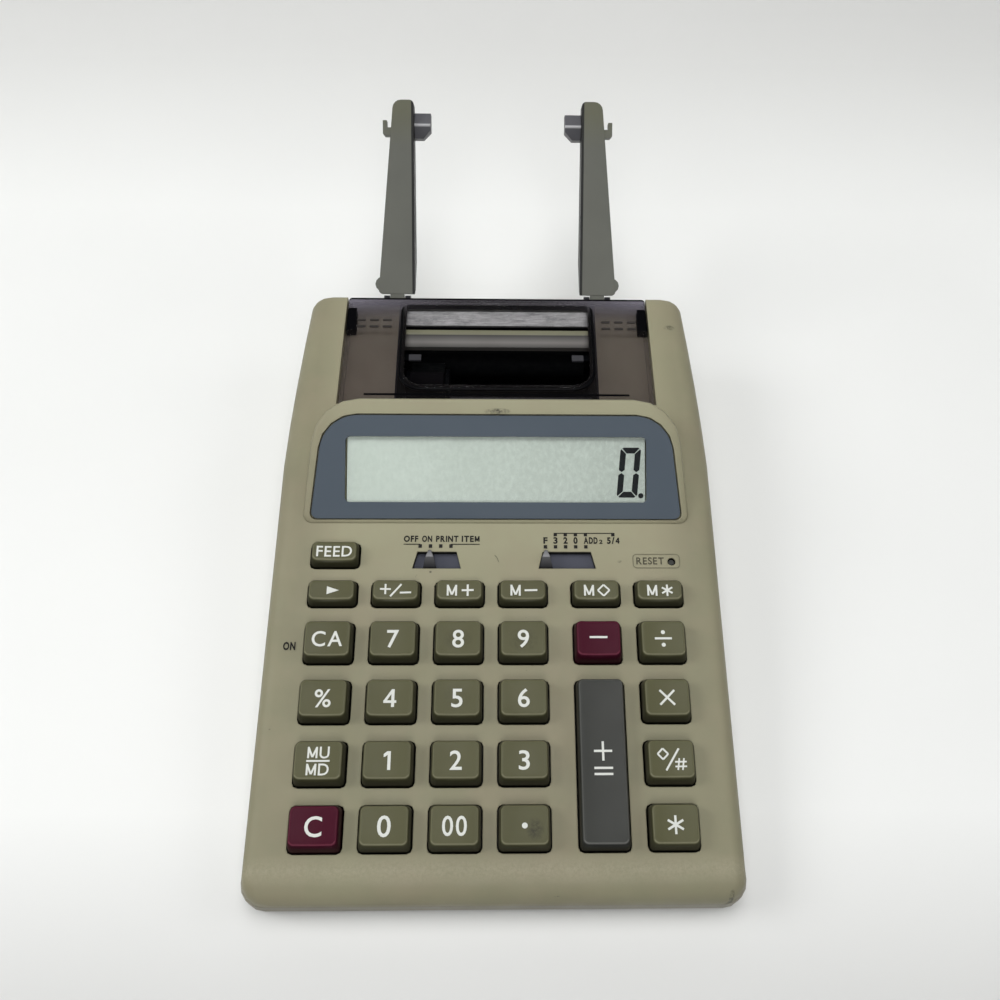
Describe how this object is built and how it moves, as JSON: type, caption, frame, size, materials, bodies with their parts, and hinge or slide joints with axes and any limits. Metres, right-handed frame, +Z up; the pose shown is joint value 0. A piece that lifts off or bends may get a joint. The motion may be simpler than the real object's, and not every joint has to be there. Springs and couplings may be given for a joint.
{
  "type": "printing calculator",
  "caption": "Desk calculator with a sloping keyboard, a hooded display, a built-in paper-roll printer under a smoked cover and folding paper-roll arms at the rear.",
  "frame": {"origin": "middle of the footprint, with the paper-roll arms raised, on the table under the feet", "axes": "+X to the user's right, +Y from the keyboard to the rear, +Z up"},
  "size_m": [0.1398, 0.2562, 0.0787],
  "materials": {
    "case_plastic": "fine spark texture, slightly yellowed",
    "base_plastic": "fine spark texture",
    "olive_key": "satin",
    "maroon_key": "satin",
    "grey_key": "satin",
    "arm_plastic": "satin",
    "smoked_plastic": "see-through, polished",
    "display_border": "smooth",
    "lcd_glass": "smooth",
    "circuit_board": "lacquered",
    "grey_rubber": "matt",
    "black_rubber": "matt",
    "black_plastic": "matt",
    "gear_plastic": "satin",
    "ink_felt": "ink-soaked",
    "bright_steel": "ground",
    "motor_steel": "plated",
    "guide_steel": "worn",
    "olive_bar": "satin"
  },
  "bodies": {
    "case": {"top_case": "case_plastic", "bottom_case": "base_plastic", "display_window": "display_border", "lcd_panel": "lcd_glass", "main_board": "circuit_board", "key_mat": "grey_rubber", "switch_plate": "display_border", "battery_contact": "bright_steel", "printer_frame": "black_plastic", "printer_motor": "motor_steel", "carriage_rail": "bright_steel", "paper_guide": "guide_steel", "tear_bar": "olive_bar", "foot_front_left": "black_rubber", "foot_front_right": "black_rubber", "foot_rear_left": "black_rubber", "foot_rear_right": "black_rubber"},
    "key_clear": {"key_clear": "maroon_key"},
    "key_0": {"key_0": "olive_key"},
    "key_00": {"key_00": "olive_key"},
    "key_point": {"key_point": "olive_key"},
    "key_total": {"key_total": "olive_key"},
    "key_markup": {"key_markup": "olive_key"},
    "key_1": {"key_1": "olive_key"},
    "key_2": {"key_2": "olive_key"},
    "key_3": {"key_3": "olive_key"},
    "key_subtotal": {"key_subtotal": "olive_key"},
    "key_percent": {"key_percent": "olive_key"},
    "key_4": {"key_4": "olive_key"},
    "key_5": {"key_5": "olive_key"},
    "key_6": {"key_6": "olive_key"},
    "key_multiply": {"key_multiply": "olive_key"},
    "key_clear_all": {"key_clear_all": "olive_key"},
    "key_7": {"key_7": "olive_key"},
    "key_8": {"key_8": "olive_key"},
    "key_9": {"key_9": "olive_key"},
    "key_minus": {"key_minus": "maroon_key"},
    "key_divide": {"key_divide": "olive_key"},
    "key_shift": {"key_shift": "olive_key"},
    "key_sign": {"key_sign": "olive_key"},
    "key_memory_plus": {"key_memory_plus": "olive_key"},
    "key_memory_minus": {"key_memory_minus": "olive_key"},
    "key_memory_subtotal": {"key_memory_subtotal": "olive_key"},
    "key_memory_total": {"key_memory_total": "olive_key"},
    "key_feed": {"key_feed": "olive_key"},
    "key_plus": {"key_plus": "grey_key"},
    "print_switch_knob": {"print_switch_knob": "olive_key"},
    "decimal_switch_knob": {"decimal_switch_knob": "olive_key"},
    "reset_button": {"reset_button": "grey_key"},
    "left_paper_arm": {"left_paper_arm": "arm_plastic"},
    "right_paper_arm": {"right_paper_arm": "arm_plastic"},
    "printer_cover": {"printer_cover": "smoked_plastic"},
    "battery_door": {"battery_door": "base_plastic"},
    "platen": {"platen_roller": "black_rubber", "platen_gear": "gear_plastic"},
    "idler_gear": {"idler_gear": "gear_plastic"},
    "motor_pinion": {"motor_pinion": "gear_plastic"},
    "type_carriage": {"type_carriage": "black_plastic"},
    "type_wheel": {"type_wheel": "black_rubber"},
    "ink_roller": {"ink_roller": "ink_felt"}
  },
  "joints": [
    {"name": "key_clear_press", "type": "slide", "parent": "case", "child": "key_clear", "axis": [0, 0.1478, -0.989], "range_m": [0, 0.002], "stiffness_N_per_m": 250, "springref_m": -0.001, "deforming": ["key_mat"]},
    {"name": "key_0_press", "type": "slide", "parent": "case", "child": "key_0", "axis": [0, 0.1478, -0.989], "range_m": [0, 0.002], "stiffness_N_per_m": 250, "springref_m": -0.001, "deforming": ["key_mat"]},
    {"name": "key_00_press", "type": "slide", "parent": "case", "child": "key_00", "axis": [0, 0.1478, -0.989], "range_m": [0, 0.002], "stiffness_N_per_m": 250, "springref_m": -0.001, "deforming": ["key_mat"]},
    {"name": "key_point_press", "type": "slide", "parent": "case", "child": "key_point", "axis": [0, 0.1478, -0.989], "range_m": [0, 0.002], "stiffness_N_per_m": 250, "springref_m": -0.001, "deforming": ["key_mat"]},
    {"name": "key_total_press", "type": "slide", "parent": "case", "child": "key_total", "axis": [0, 0.1478, -0.989], "range_m": [0, 0.002], "stiffness_N_per_m": 250, "springref_m": -0.001, "deforming": ["key_mat"]},
    {"name": "key_markup_press", "type": "slide", "parent": "case", "child": "key_markup", "axis": [0, 0.1478, -0.989], "range_m": [0, 0.002], "stiffness_N_per_m": 250, "springref_m": -0.001, "deforming": ["key_mat"]},
    {"name": "key_1_press", "type": "slide", "parent": "case", "child": "key_1", "axis": [0, 0.1478, -0.989], "range_m": [0, 0.002], "stiffness_N_per_m": 250, "springref_m": -0.001, "deforming": ["key_mat"]},
    {"name": "key_2_press", "type": "slide", "parent": "case", "child": "key_2", "axis": [0, 0.1478, -0.989], "range_m": [0, 0.002], "stiffness_N_per_m": 250, "springref_m": -0.001, "deforming": ["key_mat"]},
    {"name": "key_3_press", "type": "slide", "parent": "case", "child": "key_3", "axis": [0, 0.1478, -0.989], "range_m": [0, 0.002], "stiffness_N_per_m": 250, "springref_m": -0.001, "deforming": ["key_mat"]},
    {"name": "key_subtotal_press", "type": "slide", "parent": "case", "child": "key_subtotal", "axis": [0, 0.1478, -0.989], "range_m": [0, 0.002], "stiffness_N_per_m": 250, "springref_m": -0.001, "deforming": ["key_mat"]},
    {"name": "key_percent_press", "type": "slide", "parent": "case", "child": "key_percent", "axis": [0, 0.1478, -0.989], "range_m": [0, 0.002], "stiffness_N_per_m": 250, "springref_m": -0.001, "deforming": ["key_mat"]},
    {"name": "key_4_press", "type": "slide", "parent": "case", "child": "key_4", "axis": [0, 0.1478, -0.989], "range_m": [0, 0.002], "stiffness_N_per_m": 250, "springref_m": -0.001, "deforming": ["key_mat"]},
    {"name": "key_5_press", "type": "slide", "parent": "case", "child": "key_5", "axis": [0, 0.1478, -0.989], "range_m": [0, 0.002], "stiffness_N_per_m": 250, "springref_m": -0.001, "deforming": ["key_mat"]},
    {"name": "key_6_press", "type": "slide", "parent": "case", "child": "key_6", "axis": [0, 0.1478, -0.989], "range_m": [0, 0.002], "stiffness_N_per_m": 250, "springref_m": -0.001, "deforming": ["key_mat"]},
    {"name": "key_multiply_press", "type": "slide", "parent": "case", "child": "key_multiply", "axis": [0, 0.1478, -0.989], "range_m": [0, 0.002], "stiffness_N_per_m": 250, "springref_m": -0.001, "deforming": ["key_mat"]},
    {"name": "key_clear_all_press", "type": "slide", "parent": "case", "child": "key_clear_all", "axis": [0, 0.1478, -0.989], "range_m": [0, 0.002], "stiffness_N_per_m": 250, "springref_m": -0.001, "deforming": ["key_mat"]},
    {"name": "key_7_press", "type": "slide", "parent": "case", "child": "key_7", "axis": [0, 0.1478, -0.989], "range_m": [0, 0.002], "stiffness_N_per_m": 250, "springref_m": -0.001, "deforming": ["key_mat"]},
    {"name": "key_8_press", "type": "slide", "parent": "case", "child": "key_8", "axis": [0, 0.1478, -0.989], "range_m": [0, 0.002], "stiffness_N_per_m": 250, "springref_m": -0.001, "deforming": ["key_mat"]},
    {"name": "key_9_press", "type": "slide", "parent": "case", "child": "key_9", "axis": [0, 0.1478, -0.989], "range_m": [0, 0.002], "stiffness_N_per_m": 250, "springref_m": -0.001, "deforming": ["key_mat"]},
    {"name": "key_minus_press", "type": "slide", "parent": "case", "child": "key_minus", "axis": [0, 0.1478, -0.989], "range_m": [0, 0.002], "stiffness_N_per_m": 250, "springref_m": -0.001, "deforming": ["key_mat"]},
    {"name": "key_divide_press", "type": "slide", "parent": "case", "child": "key_divide", "axis": [0, 0.1478, -0.989], "range_m": [0, 0.002], "stiffness_N_per_m": 250, "springref_m": -0.001, "deforming": ["key_mat"]},
    {"name": "key_shift_press", "type": "slide", "parent": "case", "child": "key_shift", "axis": [0, 0.1478, -0.989], "range_m": [0, 0.002], "stiffness_N_per_m": 250, "springref_m": -0.001, "deforming": ["key_mat"]},
    {"name": "key_sign_press", "type": "slide", "parent": "case", "child": "key_sign", "axis": [0, 0.1478, -0.989], "range_m": [0, 0.002], "stiffness_N_per_m": 250, "springref_m": -0.001, "deforming": ["key_mat"]},
    {"name": "key_memory_plus_press", "type": "slide", "parent": "case", "child": "key_memory_plus", "axis": [0, 0.1478, -0.989], "range_m": [0, 0.002], "stiffness_N_per_m": 250, "springref_m": -0.001, "deforming": ["key_mat"]},
    {"name": "key_memory_minus_press", "type": "slide", "parent": "case", "child": "key_memory_minus", "axis": [0, 0.1478, -0.989], "range_m": [0, 0.002], "stiffness_N_per_m": 250, "springref_m": -0.001, "deforming": ["key_mat"]},
    {"name": "key_memory_subtotal_press", "type": "slide", "parent": "case", "child": "key_memory_subtotal", "axis": [0, 0.1478, -0.989], "range_m": [0, 0.002], "stiffness_N_per_m": 250, "springref_m": -0.001, "deforming": ["key_mat"]},
    {"name": "key_memory_total_press", "type": "slide", "parent": "case", "child": "key_memory_total", "axis": [0, 0.1478, -0.989], "range_m": [0, 0.002], "stiffness_N_per_m": 250, "springref_m": -0.001, "deforming": ["key_mat"]},
    {"name": "key_feed_press", "type": "slide", "parent": "case", "child": "key_feed", "axis": [0, 0.1478, -0.989], "range_m": [0, 0.002], "stiffness_N_per_m": 250, "springref_m": -0.001, "deforming": ["key_mat"]},
    {"name": "key_plus_press", "type": "slide", "parent": "case", "child": "key_plus", "axis": [0, 0.1478, -0.989], "range_m": [0, 0.002], "stiffness_N_per_m": 250, "springref_m": -0.001, "deforming": ["key_mat"]},
    {"name": "print_switch_knob_slide", "type": "slide", "parent": "case", "child": "print_switch_knob", "axis": [1, 0, 0], "range_m": [-0.0031, 0.0062]},
    {"name": "decimal_switch_knob_slide", "type": "slide", "parent": "case", "child": "decimal_switch_knob", "axis": [1, 0, 0], "range_m": [0, 0.0124]},
    {"name": "reset_button_press", "type": "slide", "parent": "case", "child": "reset_button", "axis": [0, 0.1478, -0.989], "range_m": [0, 0.001], "stiffness_N_per_m": 150, "springref_m": -0.001, "deforming": ["key_mat"]},
    {"name": "left_paper_arm_fold", "type": "hinge", "parent": "case", "child": "left_paper_arm", "pos_m": [0, 0.07283, 0.0329], "axis": [1, 0, 0], "range_deg": [-60, 0]},
    {"name": "right_paper_arm_fold", "type": "hinge", "parent": "case", "child": "right_paper_arm", "pos_m": [0, 0.07283, 0.0329], "axis": [1, 0, 0], "range_deg": [-60, 0]},
    {"name": "printer_cover_lift", "type": "slide", "parent": "case", "child": "printer_cover", "axis": [0, -0.075, 0.9972], "range_m": [0, 0.015]},
    {"name": "battery_door_open", "type": "hinge", "parent": "case", "child": "battery_door", "pos_m": [0, -0.03227, 0.0022], "axis": [1, 0, 0], "range_deg": [-60, 0]},
    {"name": "platen_spin", "type": "hinge", "parent": "case", "child": "platen", "pos_m": [0, 0.05493, 0.02], "axis": [1, 0, 0], "continuous": true},
    {"name": "idler_spin", "type": "hinge", "parent": "case", "child": "idler_gear", "pos_m": [0, 0.03578, 0.018], "axis": [1, 0, 0], "continuous": true},
    {"name": "pinion_spin", "type": "hinge", "parent": "case", "child": "motor_pinion", "pos_m": [0, 0.01935, 0.016], "axis": [1, 0, 0], "continuous": true},
    {"name": "carriage_travel", "type": "slide", "parent": "case", "child": "type_carriage", "axis": [1, 0, 0], "range_m": [0, 0.048]},
    {"name": "type_wheel_spin", "type": "hinge", "parent": "type_carriage", "child": "type_wheel", "pos_m": [0, 0.04523, 0.0244], "axis": [1, 0, 0], "continuous": true},
    {"name": "ink_roller_spin", "type": "hinge", "parent": "type_carriage", "child": "ink_roller", "pos_m": [0, 0.03723, 0.03], "axis": [1, 0, 0], "continuous": true}
  ],
  "couplings": [
    {"joint": "idler_spin", "follows": "platen_spin", "ratio": -0.61538},
    {"joint": "pinion_spin", "follows": "platen_spin", "ratio": 1.6},
    {"joint": "ink_roller_spin", "follows": "type_wheel_spin", "ratio": -1.1364}
  ]
}
